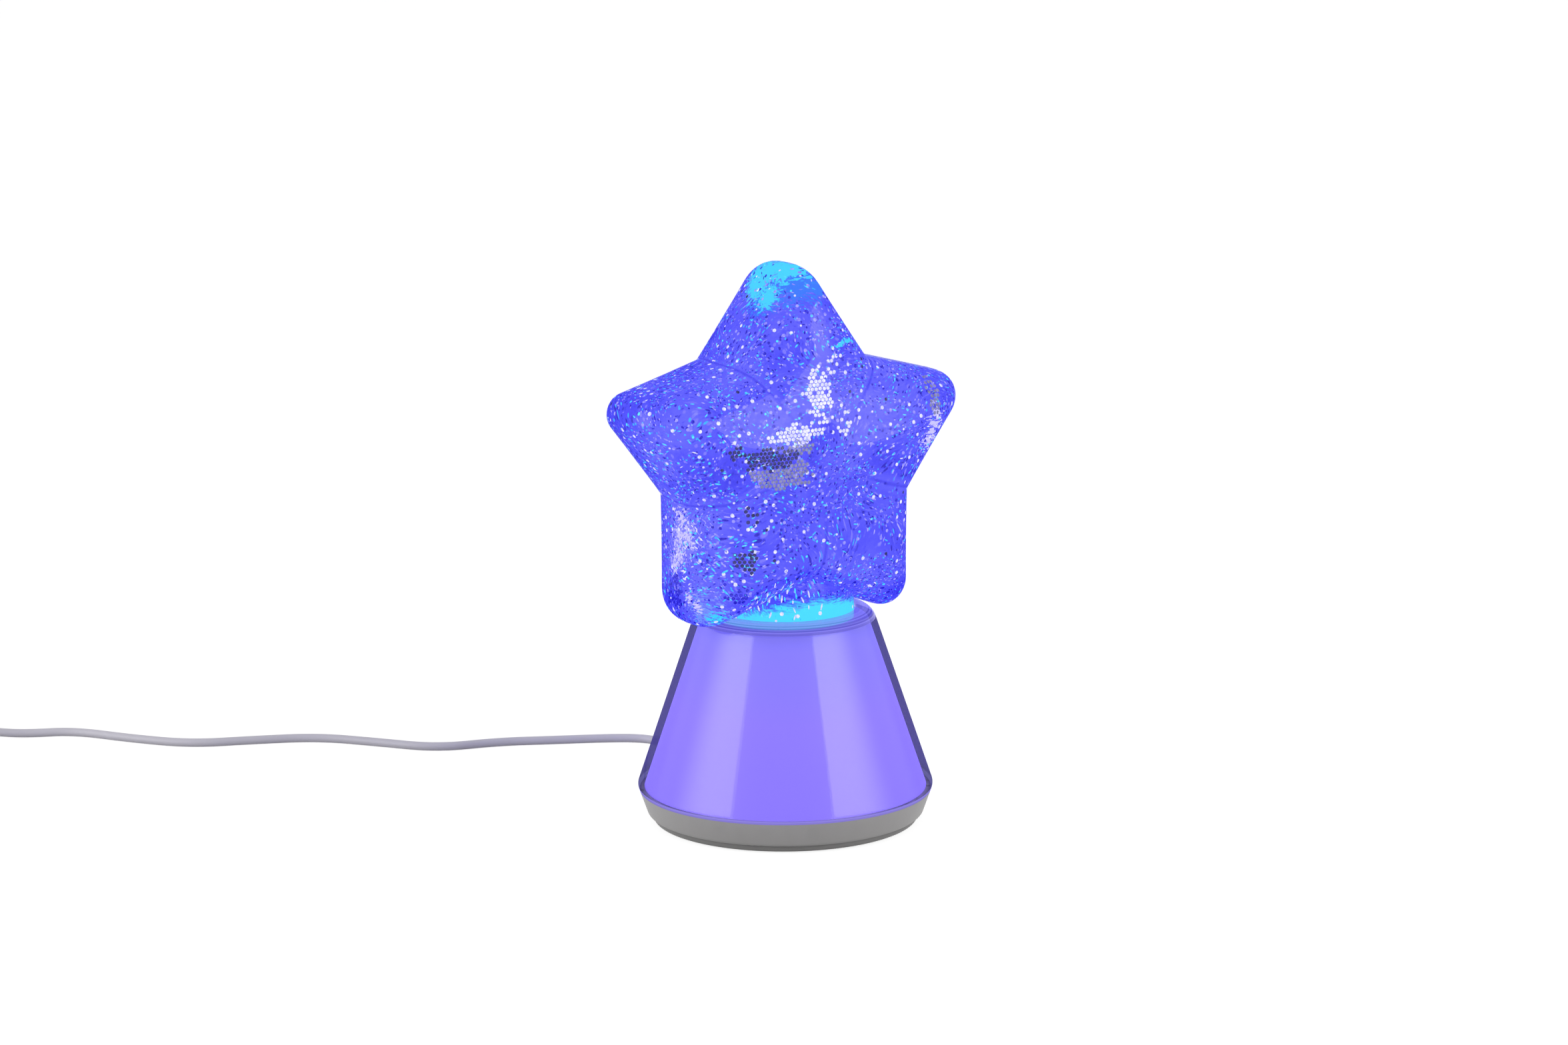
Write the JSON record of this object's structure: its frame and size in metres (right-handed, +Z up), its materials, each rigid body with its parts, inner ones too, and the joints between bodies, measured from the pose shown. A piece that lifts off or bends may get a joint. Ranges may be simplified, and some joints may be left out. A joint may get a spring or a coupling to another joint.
{
  "type": "led table lamp",
  "caption": "Glitter lamp: a clear star vessel on a lit tapered base, with a hidden motor and stirrer, and a low-voltage cord with a rocker switch and a plug.",
  "frame": {"origin": "middle of the lamp's footprint, on the table, with the cord left out", "axes": "+Z up along the lamp's axis; the star faces -Y and the cord leaves at +Y"},
  "size_m": [0.4573, 0.4093, 0.2279],
  "materials": {
    "dark_plastic": "matte",
    "rubber": "matte",
    "steel": "satin",
    "grey_plastic": "satin",
    "cord_jacket": "satin",
    "clear_plastic": "gloss",
    "opal_plastic": "satin",
    "white_plastic": "matte",
    "magnet": "satin",
    "motor_metal": "satin",
    "board": "satin",
    "cyan_diode": "gloss",
    "blue_diode": "gloss",
    "switch_plastic": "satin",
    "rocker_plastic": "satin",
    "bright_steel": "gloss",
    "contact_plastic": "matte"
  },
  "bodies": {
    "lamp": {"bottom_plate": "dark_plastic", "rubber_feet": "rubber", "base_screws": "steel", "tube_screws": "steel", "base_ring": "grey_plastic", "strain_relief": "cord_jacket", "clear_cone": "clear_plastic", "opal_cone": "opal_plastic", "neck_collar": "white_plastic", "star_vessel": "clear_plastic", "vessel_cap": "white_plastic", "seal_ring": "rubber", "stirrer_pin": "steel", "pin_keeper": "white_plastic", "motor": "motor_metal", "motor_cup": "white_plastic", "carrying_tube": "white_plastic", "motor_screws": "steel", "neck_light_board": "board", "neck_diodes": "cyan_diode", "cone_light_board": "board", "cone_diodes": "blue_diode", "reflector_ring": "white_plastic", "driver_board": "board", "driver_parts": "dark_plastic", "cord_lead": "cord_jacket", "cord_run": "cord_jacket", "cord_coil": "cord_jacket", "cord_tail": "cord_jacket", "switch_base": "switch_plastic", "switch_cover": "switch_plastic", "switch_screws": "steel", "plug_body": "switch_plastic", "plug_shell": "bright_steel", "plug_tongue": "contact_plastic"},
    "drive": {"motor_shaft": "steel", "magnet_carrier": "white_plastic", "drive_magnets": "magnet"},
    "stirrer": {"stirrer": "white_plastic", "stirrer_magnets": "magnet"},
    "rocker": {"switch_rocker": "rocker_plastic"}
  },
  "joints": [
    {"name": "motor_spin", "type": "hinge", "parent": "lamp", "child": "drive", "pos_m": [0, 0, 0.07], "axis": [0, 0, 1], "continuous": true},
    {"name": "stirrer_spin", "type": "hinge", "parent": "lamp", "child": "stirrer", "pos_m": [0, 0, 0.084], "axis": [0, 0, 1], "continuous": true},
    {"name": "rocker_tilt", "type": "hinge", "parent": "lamp", "child": "rocker", "pos_m": [-0.27315, 0.30689, 0.0082], "axis": [0.5, 0.866, 0], "range_deg": [-14, 0]}
  ],
  "couplings": [
    {"joint": "motor_spin", "follows": "stirrer_spin", "ratio": 1}
  ]
}
